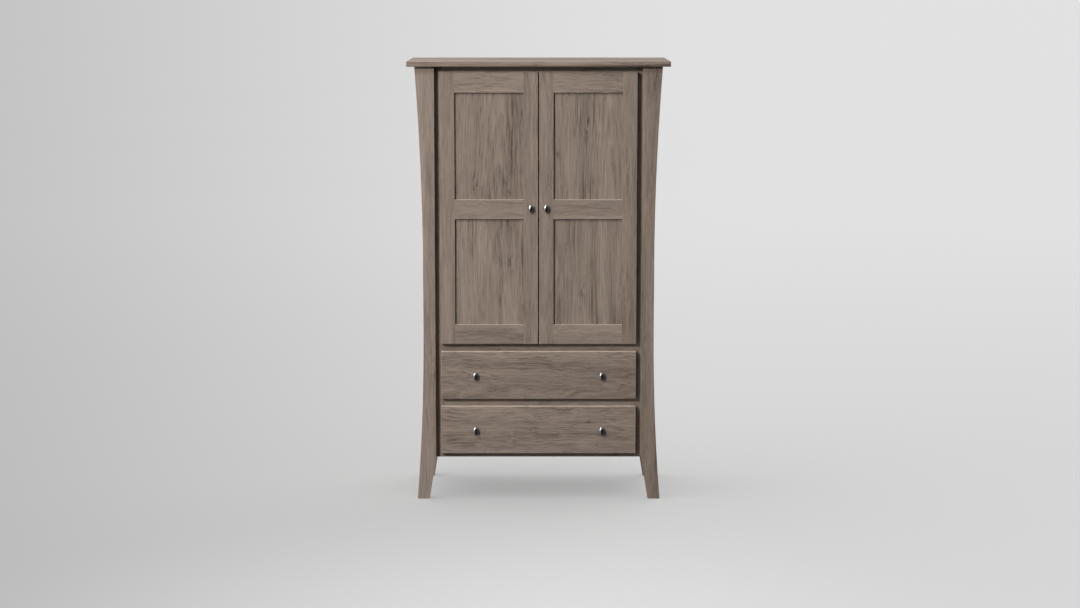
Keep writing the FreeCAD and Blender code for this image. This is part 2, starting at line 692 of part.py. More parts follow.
def knob_and_screw(name, x, z):
    """An oval knob, domed in front of its rim and shallower behind it, and the screw that holds it."""
    halves = {
        "front": (0, KNOB_TIP_ANGLE, "knob_reach - knob_rim"),
        "back": (KNOB_SHOULDER_ANGLE, 0, "knob_back_depth"),
    }
    quarters = []
    for end, (first, last, depth) in halves.items():
        quarter = doc.addObject("Part::Ellipsoid", f"{name}_knob_{end}")
        bind(quarter, "Radius1", depth)
        bind(quarter, "Radius2", "knob_half_width")
        bind(quarter, "Radius3", "knob_half_height")
        quarter.Angle1 = first
        quarter.Angle2 = last
        quarter.Angle3 = 90
        quarter.Placement.Rotation = FORWARDS
        for letter, text in zip("xyz", (x, f"{FACE} - knob_rim", z)):
            bind(quarter, f"Placement.Base.{letter}", text)
        quarters.append(quarter)
    quarter = fuse(f"{name}_knob_quarter", quarters)
    half = fuse(f"{name}_knob_half", [quarter, mirror(f"{name}_knob_quarter_twin", quarter, "x", x)])
    neck = rod(f"{name}_knob_neck", "y", (x, f"{FACE} - knob_rim", z), "knob_neck_radius", "knob_rim")
    foot_start = (x, f"{FACE} - knob_foot_height", z)
    foot = rod(f"{name}_knob_foot", "y", foot_start, "knob_foot_radius", "knob_foot_height")
    blank = fuse(f"{name}_knob_blank", [half, mirror(f"{name}_knob_half_twin", half, "z", z), neck, foot])
    bore = "(knob_screw_bite + joint_gap)"
    bore = rod(f"{name}_knob_bore", "y", (x, f"{FACE} - {bore}", z), "knob_screw_radius", bore)
    knob = cut(f"{name}_knob_head", blank, [bore])

    shank_start = (x, f"{FACE} - knob_screw_bite", z)
    shank_length = "knob_screw_bite + front_thickness"
    shank = rod(f"{name}_knob_shank", "y", shank_start, "knob_screw_radius - screw_clearance", shank_length)
    head_start = (x, FRONT_BACK, z)
    head = rod(f"{name}_knob_screw_head", "y", head_start, "knob_screw_head_radius", "knob_screw_head_height")
    return [knob, fuse(f"{name}_knob_screw", [shank, head])]


def channel(name, wall, lip, height, middle):
    """A folded steel channel: a wall and two lips, as long as the drawer box is deep."""
    run = (f"{FRAME_FRONT} + slide_inset", f"{BOX_END} - slide_inset")
    low, high = around(middle, height)
    web = box(f"{name}_web", wall, run, (low, high))
    upper = box(f"{name}_upper_lip", lip, run, (f"{high} - slide_gauge", high))
    lower = box(f"{name}_lower_lip", lip, run, (low, f"{low} + slide_gauge"))
    return fuse(name, [web, upper, lower])


def build_drawer(name, low, high):
    """A drawer on two three-part slides; returns the parts that stay in the case."""
    half = f"({OPENING} - slide_thickness)"
    inner = f"({half} - box_side_thickness)"
    box_z = (f"({low} + frame_overlap + box_lift)", f"({high} - frame_overlap - box_headroom)")
    floor_low = f"({box_z[0]} + box_bottom_inset)"
    floor_z = (floor_low, f"({floor_low} + box_bottom_thickness)")
    groove_x = f"({inner} + box_groove)"
    side_y = (f"{FRONT_BACK} - front_housing", BOX_END)
    back_y = (f"{BOX_END} - box_back_inset - box_side_thickness", f"{BOX_END} - box_back_inset")
    back_z = (floor_z[1], box_z[1])

    knob_z = f"(({low} + {high}) / 2 - drawer_knob_drop)"
    knob = knob_and_screw(name, "drawer_knob_offset", knob_z)
    twins = [mirror(f"{piece.Name}_left", piece) for piece in knob]
    node(f"{name}_drawer_knobs", group(f"{name}_drawer_knobs", knob + twins))

    board = eased_board(f"{name}_front_board", both(DOOR_OUT), (FACE, FRONT_BACK), (low, high),
                        "drawer_edge_radius", lambda middle, bounds: same(middle.y, bounds.YMin))
    housing_y = (f"{FRONT_BACK} - front_housing", FRONT_BACK)
    groove_y = (f"{FRONT_BACK} - box_groove", FRONT_BACK)
    tools = [box(f"{name}_front_groove", both(groove_x), groove_y, floor_z)]
    for side, span in (("right", (inner, half)), ("left", (f"-{half}", f"-{inner}"))):
        tools.append(box(f"{name}_front_housing_{side}", span, housing_y, box_z))
    for side, x in (("right", "drawer_knob_offset"), ("left", "-drawer_knob_offset")):
        hole = f"{name}_knob_hole_{side}"
        tools.append(rod(hole, "y", (x, FACE, knob_z), "knob_screw_radius + joint_gap", "front_thickness"))
    node(f"{name}_drawer_front", cut(f"{name}_drawer_front", board, tools))

    board = box(f"{name}_side_board", (inner, half), side_y, box_z)
    tools = [
        box(f"{name}_side_groove", (inner, groove_x), side_y, floor_z),
        box(f"{name}_side_housing", (inner, groove_x), back_y, back_z),
    ]
    side = f"{name}_drawer_right_side"
    pair(side, cut(side, board, tools))
    node(f"{name}_drawer_back", box(f"{name}_drawer_back", both(groove_x), back_y, back_z))
    floor_y = (f"{FRONT_BACK} - box_groove", BOX_END)
    floor_x = both(f"{groove_x} - joint_gap")
    node(f"{name}_drawer_bottom", box(f"{name}_drawer_bottom", floor_x, floor_y, floor_z))

    middle = f"(({box_z[0]} + {box_z[1]}) / 2)"
    lip_end = f"{half} + slide_lip_gap"
    outer_face = f"{OPENING} - slide_gauge"
    middle_face = f"{outer_face} - slide_play"
    middle_inner = f"{middle_face} - slide_gauge"
    nest = "2 * (slide_gauge + slide_play)"
    outer = channel(f"{name}_slide_outer", (outer_face, OPENING), (lip_end, OPENING),
                    "slide_height", middle)
    carried = channel(f"{name}_slide_middle", (middle_inner, middle_face), (lip_end, middle_face),
                      f"slide_height - {nest}", middle)
    riding = channel(f"{name}_slide_inner", (half, f"{half} + slide_gauge"),
                     (half, f"{middle_inner} - slide_play"), f"slide_height - 2 * {nest}", middle)
    middles = f"{name}_slide_middle_members"
    node(middles, group(middles, [carried, mirror(f"{name}_slide_middle_left", carried)]))
    inners = f"{name}_drawer_slide_members"
    node(inners, group(inners, [riding, mirror(f"{name}_slide_inner_left", riding)]))
    cleat = box(f"{name}_cleat", (OPENING, SIDE_IN), (BAY_FRONT, BAY_BACK), around(middle, "cleat_height"))
    return (
        [outer, mirror(f"{name}_slide_outer_left", outer)],
        [cleat, mirror(f"{name}_cleat_left", cleat)],
    )


build_case()
build_face_frame()
build_hinges()
build_door()
slide_outers = []
cleats = []
for drawer, low_edge, high_edge in (("upper", UPPER_LOW, UPPER_HIGH), ("lower", LOWER_LOW, LOWER_HIGH)):
    outers, blocks = build_drawer(drawer, low_edge, high_edge)
    slide_outers += outers
    cleats += blocks
node("slide_outer_members", group("slide_outer_members", slide_outers))
node("slide_cleats", group("slide_cleats", cleats))
doc.recompute()

for thing in doc.Objects:
    if "Invalid" in thing.State or "Error" in thing.State:
        raise RuntimeError(f"{thing.Name} did not recompute: {thing.State}")
for name, thing in NODES.items():
    if thing.Shape.isNull() or not thing.Shape.isValid() or not thing.Shape.Solids:
        raise RuntimeError(f"{name} has no valid shape")
    thing.Shape.exportStep(f"parts/{name}.step")
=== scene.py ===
import json
import math
import random

import bmesh
import bpy
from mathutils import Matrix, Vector

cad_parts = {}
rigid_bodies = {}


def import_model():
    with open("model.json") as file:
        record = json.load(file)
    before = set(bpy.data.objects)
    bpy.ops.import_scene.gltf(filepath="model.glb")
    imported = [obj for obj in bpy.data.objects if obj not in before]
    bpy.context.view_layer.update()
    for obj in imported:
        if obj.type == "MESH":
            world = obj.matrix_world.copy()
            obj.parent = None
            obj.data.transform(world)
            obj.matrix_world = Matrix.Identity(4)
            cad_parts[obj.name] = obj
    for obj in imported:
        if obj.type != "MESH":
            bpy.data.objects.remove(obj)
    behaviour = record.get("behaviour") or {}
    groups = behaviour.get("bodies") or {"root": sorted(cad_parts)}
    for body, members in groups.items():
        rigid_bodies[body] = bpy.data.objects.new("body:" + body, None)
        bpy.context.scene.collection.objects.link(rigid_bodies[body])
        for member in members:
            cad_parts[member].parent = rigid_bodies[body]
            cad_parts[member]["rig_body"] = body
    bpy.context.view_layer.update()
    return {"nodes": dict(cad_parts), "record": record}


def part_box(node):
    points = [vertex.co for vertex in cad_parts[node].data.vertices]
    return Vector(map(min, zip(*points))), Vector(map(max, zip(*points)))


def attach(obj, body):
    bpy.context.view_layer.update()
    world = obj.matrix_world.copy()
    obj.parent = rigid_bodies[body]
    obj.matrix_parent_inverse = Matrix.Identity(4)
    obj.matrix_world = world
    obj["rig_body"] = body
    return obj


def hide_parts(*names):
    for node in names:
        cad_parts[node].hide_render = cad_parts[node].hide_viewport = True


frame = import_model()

# A tall media cabinet on flared posts, in grey-stained hardwood with bright oval knobs.
# Metres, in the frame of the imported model: +Z is up and the front faces -Y.

MM = 0.001
# Points nearer than this are one point, and faces smaller than a speck are dropped.
WELD = 0.005 * MM
SPECK = 0.001 * MM
# A board's eased edges, the shortest corner that is eased, and the widest face that counts as narrow.
EASED = 0.5 * MM
SHORTEST_EASED = 9 * MM
NARROW = 2.5 * MM
SUM = "ShaderNodeMath"
SHIFT = "ShaderNodeVectorMath"
NOISE = "ShaderNodeTexNoise"
RANGE = "ShaderNodeMapRange"
BLEND = "ShaderNodeMix"
scene = bpy.context.scene


def linear(hex_colour):
    """An sRGB hex colour as linear red, green, blue and alpha."""
    channels = [int(hex_colour[start:start + 2], 16) / 255 for start in (1, 3, 5)]
    return [c / 12.92 if c <= 0.04045 else ((c + 0.055) / 1.055) ** 2.4 for c in channels] + [1.0]


def add(tree, kind, settings=None, sockets=None, output=0):
    """Adds a node with its settings, fills or links its inputs, and returns one of its outputs."""
    made = tree.nodes.new(kind)
    for name, value in (settings or {}).items():
        setattr(made, name, value)
    for name, value in (sockets or {}).items():
        if isinstance(value, bpy.types.NodeSocket):
            tree.links.new(value, made.inputs[name])
        else:
            made.inputs[name].default_value = value
    return made.outputs[output] if made.outputs else made


def new_material(name):
    """An empty material and its node tree."""
    material = bpy.data.materials.new(name)
    material.use_nodes = True
    material.node_tree.nodes.clear()
    return material, material.node_tree


def finish_material(tree, sockets):
    """Ends a material in one Principled shader."""
    shader = add(tree, "ShaderNodeBsdfPrincipled", {}, sockets)
    add(tree, "ShaderNodeOutputMaterial", {}, {"Surface": shader})


def pitch(across, through, along):
    """Texture scale for a pattern of these sizes in millimetres."""
    return (1 / (across * MM), 1 / (through * MM), 1 / (along * MM))


def wood(name, pale, dark, wear_and_highlight, ring_share, streak_share, roughness):
    """Planed and lacquered wood, cut from one log a board.

    Each board carries its own attributes: grain is its place in the log (across and through from the
    heart, then along), spot its place from a flecked spot, edge marks its eased edges, crest is the
    way down from an upper arris that is painted paler as a highlight, tone is its stain (on the front
    posts partly painted light), wave how much its fibres wander, figure how strongly it is streaked
    and stave the count of glued staves from its near edge.
    """
    material, tree = new_material(name)
    grain = add(tree, "ShaderNodeAttribute", {"attribute_name": "grain"}, {}, "Vector")
    spot = add(tree, "ShaderNodeAttribute", {"attribute_name": "spot"}, {}, "Vector")
    edge = add(tree, "ShaderNodeAttribute", {"attribute_name": "edge"}, {}, "Fac")
    tone = add(tree, "ShaderNodeAttribute", {"attribute_name": "tone"}, {}, "Fac")
    wave = add(tree, "ShaderNodeAttribute", {"attribute_name": "wave"}, {}, "Fac")
    crest = add(tree, "ShaderNodeAttribute", {"attribute_name": "crest"}, {}, "Fac")
    figure = add(tree, "ShaderNodeAttribute", {"attribute_name": "figure"}, {}, "Fac")
    stave = add(tree, "ShaderNodeAttribute", {"attribute_name": "stave"}, {}, "Fac")

    # A glued-up board has staves of one width, each from its own place in the log and of its own tone.
    index = add(tree, SUM, {"operation": "FLOOR"}, {0: stave})
    shift = add(tree, SHIFT, {"operation": "SCALE"}, {0: (0.0, 0.043, 2.7), "Scale": index})
    grain = add(tree, SHIFT, {"operation": "ADD"}, {0: grain, 1: shift})
    swing = add(tree, SUM, {"operation": "MULTIPLY"}, {0: index, 1: 2.4})
    swing = add(tree, SUM, {"operation": "SINE"}, {0: swing})
    tone = add(tree, SUM, {"operation": "MULTIPLY_ADD"}, {0: swing, 1: 0.07, 2: tone})

    # A flecked spot 28 mm across and 90 mm long, where a branch began: the fibres bend round it.
    spot_place = add(tree, SHIFT, {"operation": "MULTIPLY"}, {0: spot, 1: pitch(14, 40, 45)})
    spot_far = add(tree, SHIFT, {"operation": "DOT_PRODUCT"}, {0: spot_place, 1: spot_place}, "Value")
    spot_fade = add(tree, SUM, {"operation": "MULTIPLY"}, {0: spot_far, 1: -1.0})
    swell = add(tree, SUM, {"operation": "EXPONENT"}, {0: spot_fade})

    # The fibres wander by up to about a centimetre over a forearm's length, with ripples a hand long.
    wander_place = add(tree, SHIFT, {"operation": "MULTIPLY"}, {0: grain, 1: pitch(120, 120, 420)})
    wander = add(tree, NOISE, {}, {"Vector": wander_place, "Scale": 1.0, "Detail": 2.0}, "Color")
    wander = add(tree, SHIFT, {"operation": "SUBTRACT"}, {0: wander, 1: (0.5, 0.5, 0.5)})
    wander = add(tree, SHIFT, {"operation": "MULTIPLY"}, {0: wander, 1: (0.05, 0.05, 0.0)})
    ripple_place = add(tree, SHIFT, {"operation": "MULTIPLY"}, {0: grain, 1: pitch(50, 50, 150)})
    ripple = add(tree, NOISE, {}, {"Vector": ripple_place, "Scale": 1.0, "Detail": 1.0}, "Color")
    ripple = add(tree, SHIFT, {"operation": "SUBTRACT"}, {0: ripple, 1: (0.5, 0.5, 0.5)})
    ripple = add(tree, SHIFT, {"operation": "MULTIPLY"}, {0: ripple, 1: (0.012, 0.012, 0.0)})
    wander = add(tree, SHIFT, {"operation": "ADD"}, {0: wander, 1: ripple})
    wander = add(tree, SHIFT, {"operation": "SCALE"}, {0: wander, "Scale": wave})
    fibre = add(tree, SHIFT, {"operation": "ADD"}, {0: grain, 1: wander})
    bend = add(tree, SHIFT, {"operation": "SCALE"}, {0: (0.007, 0.007, 0.0), "Scale": swell})
    fibre = add(tree, SHIFT, {"operation": "ADD"}, {0: fibre, 1: bend})

    # Growth rings every 9 mm, paler where they start and darker where they end. Real rings are finer,
    # and are drawn this coarse so that they show from across a room.
    from_heart = add(tree, SHIFT, {"operation": "MULTIPLY"}, {0: fibre, 1: (1.0, 1.0, 0.0)})
    radius = add(tree, SHIFT, {"operation": "LENGTH"}, {0: from_heart}, "Value")
    ring = add(tree, SUM, {"operation": "DIVIDE"}, {0: radius, 1: 9 * MM})
    ring = add(tree, SUM, {"operation": "FRACT"}, {0: ring})
    rise = add(tree, RANGE, {"interpolation_type": "SMOOTHSTEP"},
               {"Value": ring, "From Min": 0.1, "From Max": 0.85})
    fall = add(tree, RANGE, {"interpolation_type": "SMOOTHSTEP"},
               {"Value": ring, "From Min": 0.85, "From Max": 1.0, "To Min": 1.0, "To Max": 0.0})
    ring = add(tree, SUM, {"operation": "MULTIPLY"}, {0: rise, 1: fall})

    # The stain takes unevenly: in bands 40 mm wide and as long as a board, and in patches a forearm long.
    band_place = add(tree, SHIFT, {"operation": "MULTIPLY"}, {0: fibre, 1: pitch(44, 44, 1300)})
    band = add(tree, NOISE, {}, {"Vector": band_place, "Scale": 1.0, "Detail": 1.0}, "Fac")
    band = add(tree, RANGE, {}, {"Value": band, "From Min": 0.3, "From Max": 0.7})
    patch_place = add(tree, SHIFT, {"operation": "MULTIPLY"}, {0: fibre, 1: pitch(62, 62, 400)})
    patch = add(tree, NOISE, {}, {"Vector": patch_place, "Scale": 1.0, "Detail": 2.0}, "Fac")
    patch = add(tree, RANGE, {"interpolation_type": "SMOOTHSTEP"},
                {"Value": patch, "From Min": 0.34, "From Max": 0.68})

    # Dark streaks 8 mm wide and a forearm long, between lines of 3 mm.
    streak_place = add(tree, SHIFT, {"operation": "MULTIPLY"}, {0: fibre, 1: pitch(8, 8, 320)})
    streak = add(tree, NOISE, {},
                 {"Vector": streak_place, "Scale": 1.0, "Detail": 4.0, "Roughness": 0.62}, "Fac")
    streak = add(tree, RANGE, {"interpolation_type": "SMOOTHSTEP"},
                 {"Value": streak, "From Min": 0.4, "From Max": 0.72})
    line_place = add(tree, SHIFT, {"operation": "MULTIPLY"}, {0: fibre, 1: pitch(3.4, 3.4, 120)})
    line = add(tree, NOISE, {}, {"Vector": line_place, "Scale": 1.0, "Detail": 2.0}, "Fac")
    line = add(tree, RANGE, {"interpolation_type": "SMOOTHSTEP"},
               {"Value": line, "From Min": 0.38, "From Max": 0.66})

    # Pores 0.8 mm wide and 18 mm long, that only show from close by.
    pore_place = add(tree, SHIFT, {"operation": "MULTIPLY"}, {0: fibre, 1: pitch(0.8, 0.8, 18)})
    pore = add(tree, NOISE, {}, {"Vector": pore_place, "Scale": 1.0, "Detail": 1.0}, "Fac")
    pore = add(tree, RANGE, {"interpolation_type": "SMOOTHSTEP"},
               {"Value": pore, "From Min": 0.48, "From Max": 0.7})

    # Short dark flecks 3 mm wide and 35 mm long, gathered in clusters and round the flecked spot.
    fleck_place = add(tree, SHIFT, {"operation": "MULTIPLY"}, {0: fibre, 1: pitch(3.2, 3.2, 36)})
    fleck = add(tree, NOISE, {}, {"Vector": fleck_place, "Scale": 1.0, "Detail": 2.0}, "Fac")
    fleck = add(tree, RANGE, {"interpolation_type": "SMOOTHSTEP"},
                {"Value": fleck, "From Min": 0.42, "From Max": 0.66})
    cluster_place = add(tree, SHIFT, {"operation": "MULTIPLY"}, {0: fibre, 1: pitch(34, 34, 110)})
    cluster = add(tree, NOISE, {}, {"Vector": cluster_place, "Scale": 1.0, "Detail": 1.0}, "Fac")
    cluster = add(tree, RANGE, {"interpolation_type": "SMOOTHSTEP"},
                  {"Value": cluster, "From Min": 0.63, "From Max": 0.8})
    cluster = add(tree, SUM, {"operation": "MAXIMUM"}, {0: cluster, 1: swell})
    fleck = add(tree, SUM, {"operation": "MULTIPLY"}, {0: fleck, 1: cluster})

    gather = add(tree, SUM, {"operation": "MULTIPLY_ADD"}, {0: patch, 1: 0.8, 2: 0.2})
    dark_lines = add(tree, SUM, {"operation": "MULTIPLY"}, {0: streak, 1: streak_share})
    dark_lines = add(tree, SUM, {"operation": "MULTIPLY"}, {0: dark_lines, 1: gather})
    dark_lines = add(tree, SUM, {"operation": "MULTIPLY_ADD"},
                     {0: ring, 1: 0.6 * ring_share, 2: dark_lines})
    dark_lines = add(tree, SUM, {"operation": "MULTIPLY_ADD"}, {0: fleck, 1: 0.5, 2: dark_lines})
    shade = add(tree, SUM, {"operation": "MULTIPLY"}, {0: dark_lines, 1: figure})
    shade = add(tree, SUM, {"operation": "MULTIPLY_ADD"}, {0: line, 1: 0.2, 2: shade})
    shade = add(tree, SUM, {"operation": "MULTIPLY_ADD"}, {0: pore, 1: 0.12, 2: shade})
    shade = add(tree, SUM, {"operation": "MULTIPLY_ADD"}, {0: band, 1: 0.3, 2: shade})
    shade = add(tree, SUM, {"operation": "SUBTRACT", "use_clamp": True}, {0: shade, 1: tone})
    colour = add(tree, BLEND, {"data_type": "RGBA"}, {0: shade, 6: linear(pale), 7: linear(dark)}, 2)
    # Painted highlight: near the upper arris of some boards the pale colour is painted in for light from
    # above; elsewhere it marks real rubbed edges.
    arris = add(tree, RANGE, {"interpolation_type": "SMOOTHSTEP"},
                {"Value": crest, "From Min": 0.2, "From Max": 1.0, "To Min": 1.0, "To Max": 0.0})
    edge = add(tree, SUM, {"operation": "MAXIMUM"}, {0: edge, 1: arris})
    rub_and_highlight = add(tree, SUM, {"operation": "MULTIPLY_ADD"}, {0: line, 1: -0.5, 2: 1.0})
    rub_and_highlight = add(tree, SUM, {"operation": "MULTIPLY"}, {0: edge, 1: rub_and_highlight})
    colour = add(tree, BLEND, {"data_type": "RGBA"}, {0: rub_and_highlight, 6: colour, 7: linear(wear_and_highlight)}, 2)

    gloss = add(tree, RANGE, {}, {"Value": shade, "To Min": roughness - 0.04, "To Max": roughness + 0.1})
    height = add(tree, SUM, {"operation": "MULTIPLY_ADD"}, {0: fleck, 1: -0.6, 2: line})
    height = add(tree, SUM, {"operation": "MULTIPLY_ADD"}, {0: pore, 1: -0.5, 2: height})
    relief = add(tree, "ShaderNodeBump", {}, {"Strength": 0.35, "Distance": 0.15 * MM, "Height": height})
    finish_material(tree, {"Base Color": colour, "Roughness": gloss, "Normal": relief, "IOR": 1.5,
                           "Specular IOR Level": 0.3})
    return material


def metal(name, base, bright, roughness, mottle, relief_depth):
    """A metal whose tone and gloss vary over a mottle of the given size in millimetres."""
    material, tree = new_material(name)
    place = add(tree, "ShaderNodeTexCoord", {}, {}, "Object")
    cloud = add(tree, NOISE, {},
                {"Vector": place, "Scale": 1 / (mottle * MM), "Detail": 4.0}, "Fac")
    colour = add(tree, BLEND, {"data_type": "RGBA"}, {0: cloud, 6: linear(base), 7: linear(bright)}, 2)
    gloss = add(tree, RANGE, {},
                {"Value": cloud, "From Min": 0.3, "From Max": 0.7,
                 "To Min": roughness * 0.7, "To Max": roughness * 1.3})
    relief = add(tree, "ShaderNodeBump", {},
                 {"Strength": 0.2, "Distance": relief_depth * MM, "Height": cloud})
    finish_material(tree, {"Base Color": colour, "Metallic": 1.0, "Roughness": gloss, "Normal": relief})
    return material


# Stained hardwood: planed, wiped with a grey-brown stain and sprayed with satin lacquer.
# The stain gathers in the softer wood, so streaks and ring ends are darker, and rubbed edges are paler.
# The same pale colour is also painted on some upper arrises as a highlight for the light from above.
stained_hardwood = wood("stained_hardwood_satin", "#96877b", "#4c4139", "#baab9e", 0.2, 0.5, 0.56)
# Stained veneer on board: the same stain on calmer, sliced wood.
stained_veneer = wood("stained_veneer_satin", "#938479", "#52473f", "#a99b8f", 0.2, 0.42, 0.58)
# Drawer maple: pale, close-grained, under clear lacquer.
drawer_maple = wood("drawer_maple_clear", "#d9c09a", "#a98558", "#e2cfae", 0.16, 0.28, 0.42)
# Polished nickel: plated and buffed, so it mirrors the studio in a neutral grey.
polished_nickel = metal("polished_nickel_buffed", "#8a8a8a", "#989898", 0.13, 6, 0.01)
# Nickelled steel: stamped and plated, a little cloudy.
nickelled_steel = metal("nickelled_steel_satin", "#a7a39b", "#b9b5ad", 0.3, 14, 0.01)
# Zinc-plated steel: rolled and passivated, with a cold mottled bloom.
zinc_steel = metal("zinc_plated_steel_rolled", "#9a9fa3", "#b4b8ba", 0.36, 9, 0.03)

FINISHES = {
    "stained_hardwood": stained_hardwood,
    "stained_veneer": stained_veneer,
    "drawer_maple": drawer_maple,
    "polished_nickel": polished_nickel,
    "nickelled_steel": nickelled_steel,
    "zinc_steel": zinc_steel,
}

SLOT_OF = {part["node"]: part["material_slot"] for part in frame["record"]["subparts"]}
TURNED = ("knob", "knobs", "screws")
UPRIGHT = ("leg", "side_panel", "stile", "back_panel", "upper_panel", "lower_panel")
DEEP = ("left_side", "right_side", "cleats")
PLAIN = ("leg", "stile", "rail", "slab")


def grain_axis(name):
    """The way a board's grain runs: 0 along X, 1 along Y, 2 along Z."""
    if name.endswith(DEEP):
        return 1
    return 2 if name.endswith(UPRIGHT) else 0


# Flecked spots, as places on the front of the cabinet: across, up.
SPOTS = {
    "left_door_upper_panel": (-0.270, 1.348),
    "right_door_upper_panel": (0.204, 1.604),
    "left_door_lower_panel": (-0.120, 1.006),
    "right_door_lower_panel": (0.180, 0.860),
    "right_door_meeting_stile": (0.045, 1.372),
    "upper_drawer_front": (-0.199, 0.468),
    "lower_drawer_front": (0.003, 0.351),
    "top_slab": (0.42, 1.843),
}
NO_SPOT = Vector((9.0, 9.0, 9.0))
# Stain that is a little lighter or darker than most boards'. The front posts' tones are partly painted
# # light: the left post lighter and the right one darker, as light falls off from left to right.
STAIN_AND_LIGHT_TONES = {
    "top_slab": -0.27,
    # Partly painted light: the left front post lighter and the right one darker.
    "front_left_leg": 0.05,
    "front_right_leg": -0.13,
    "left_door_hinge_stile": -0.05,
    "right_door_hinge_stile": -0.05,
    "left_door_meeting_stile": 0.0,
    "left_door_top_rail": 0.06,
    "left_door_mid_rail": 0.06,
    "right_door_mid_rail": -0.01,
    "left_door_bottom_rail": -0.02,
    "right_door_bottom_rail": 0.08,
    "left_door_upper_panel": -0.05,
    "right_door_upper_panel": 0.05,
    "upper_drawer_front": -0.03,
    "lower_drawer_front": 0.08,
    "frame_top_rail": 0.25,
    "frame_deck_rail": -0.05,
    "frame_drawer_rail": 0.1,
}
# Boards glued up from staves, and how many.
STAVES = {"top_slab": 5}
# How much the eased edges are rubbed paler: little where no hand passes.
RUBBING = {"top_slab": 0.1, "left_door_meeting_stile": 0.0, "right_door_meeting_stile": 0.0}
# Boards whose upper arris is painted paler, as a highlight for the light from above, over this many
# millimetres.
LIT_ARRISES = {
    "upper_drawer_front": 4.5,
    "lower_drawer_front": 4.5,
    "left_door_mid_rail": 2.5,
    "right_door_mid_rail": 2.5,
    "left_door_bottom_rail": 2.5,
    "right_door_bottom_rail": 2.5,
}


def put_in_place(piece_name, mesh, node_name):
    """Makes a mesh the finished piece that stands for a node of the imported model."""
    piece = bpy.data.objects.new(piece_name, mesh)
    scene.collection.objects.link(piece)
    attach(piece, frame["nodes"][node_name]["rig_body"])
    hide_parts(node_name)
    return piece


def board(name, finish):
    """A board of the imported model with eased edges, and its place in the log as attributes."""
    dice = random.Random(name)
    shape = bmesh.new()
    shape.from_mesh(frame["nodes"][name].data)
    bmesh.ops.remove_doubles(shape, verts=shape.verts, dist=WELD)
    bmesh.ops.dissolve_limit(shape, angle_limit=math.radians(0.3), verts=shape.verts, edges=shape.edges)

    def narrow(face):
        return face.calc_area() < NARROW * max(edge.calc_length() for edge in face.edges)

    def sharp_corner(edge):
        if len(edge.link_faces) != 2 or edge.calc_length() < SHORTEST_EASED or not edge.is_convex:
            return False
        square = math.radians(60) < edge.calc_face_angle() < math.radians(120)
        return square and not any(narrow(face) for face in edge.link_faces)

    corners = [edge for edge in shape.edges if sharp_corner(edge)]
    bmesh.ops.bevel(shape, geom=corners, offset=EASED, segments=2, profile=0.5, affect="EDGES",
                    clamp_overlap=True)
    bmesh.ops.dissolve_degenerate(shape, dist=SPECK, edges=shape.edges)
    edge_layer = shape.verts.layers.float.new("edge")
    rubbing = RUBBING.get(name, 0.35)
    for vert in shape.verts:
        vert[edge_layer] = rubbing * all(narrow(face) for face in vert.link_faces)

    axis = grain_axis(name)
    low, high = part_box(name)
    middle = (low + high) / 2
    size = high - low
    others = sorted((i for i in range(3) if i != axis), key=lambda i: -size[i])
    across, through = others
    heart = Vector((
        dice.uniform(-0.4, 0.4) * size[across],
        dice.choice((-1, 1)) * dice.uniform(0.03, 0.11),
        dice.uniform(0, 40),
    ))
    lean = dice.choice((-1, 1)) * dice.uniform(0.015, 0.05)
    tone = STAIN_AND_LIGHT_TONES.get(name, dice.uniform(-0.03, 0.03))
    wave, pace = (0.3, 1.0) if axis == 2 or name in STAVES else (0.8, 1.6)
    figure = 0.6 if name.endswith(PLAIN) else 1.1
    grain_layer = shape.verts.layers.float_vector.new("grain")
    spot_layer = shape.verts.layers.float_vector.new("spot")
    tone_layer = shape.verts.layers.float.new("tone")
    wave_layer = shape.verts.layers.float.new("wave")
    figure_layer = shape.verts.layers.float.new("figure")
    crest_layer = shape.verts.layers.float.new("crest")
    stave_layer = shape.verts.layers.float.new("stave")
    for vert in shape.verts:
        place = vert.co - middle
        vert[grain_layer] = (
            place[across] - heart.x,
            place[through] - heart.y + lean * place[axis],
            pace * place[axis] + heart.z,
        )
        vert[tone_layer] = tone
        vert[wave_layer] = wave
        vert[figure_layer] = figure
        if name in STAVES:
            vert[stave_layer] = (vert.co[across] - low[across]) / size[across] * STAVES[name] - 0.01
        # Painted highlight: the way down from the upper arris, painted paler near the top.
        vert[crest_layer] = (high.z - vert.co.z) / (LIT_ARRISES[name] * MM) if name in LIT_ARRISES else 1.0
        if name in SPOTS:
            spot_x, spot_z = SPOTS[name]
            from_spot = Vector((vert.co.x - spot_x, vert.co.y - low.y, vert.co.z - spot_z))
            vert[spot_layer] = (from_spot[across], from_spot[through], from_spot[axis])
        else:
            vert[spot_layer] = NO_SPOT

    mesh = bpy.data.meshes.new(f"{name}_board")
    shape.to_mesh(mesh)
    shape.free()
    mesh.materials.append(finish)
    for face in mesh.polygons:
        face.use_smooth = True
    mesh.set_sharp_from_angle(angle=math.radians(14))
    return put_in_place(f"{name}_board", mesh, name)


WOODS = ("stained_hardwood", "stained_veneer", "drawer_maple")
INNER = ("side_panel", "sub_top", "deck_panel", "back_panel", "tv_shelf", "pins", "leaves", "members")
inner_pieces = []
for node_name, node in frame["nodes"].items():
    slot = SLOT_OF[node_name]
    piece = node
    if slot in WOODS:
        piece = board(node_name, FINISHES[slot])
    elif not node_name.endswith(TURNED):
        node.data.materials.clear()
        node.data.materials.append(FINISHES[slot])
    if node_name.endswith(INNER):
        inner_pieces.append(piece)


# The knobs and screws are turned: a profile is swept round a small circle of this radius.
LATHE = 1 * MM


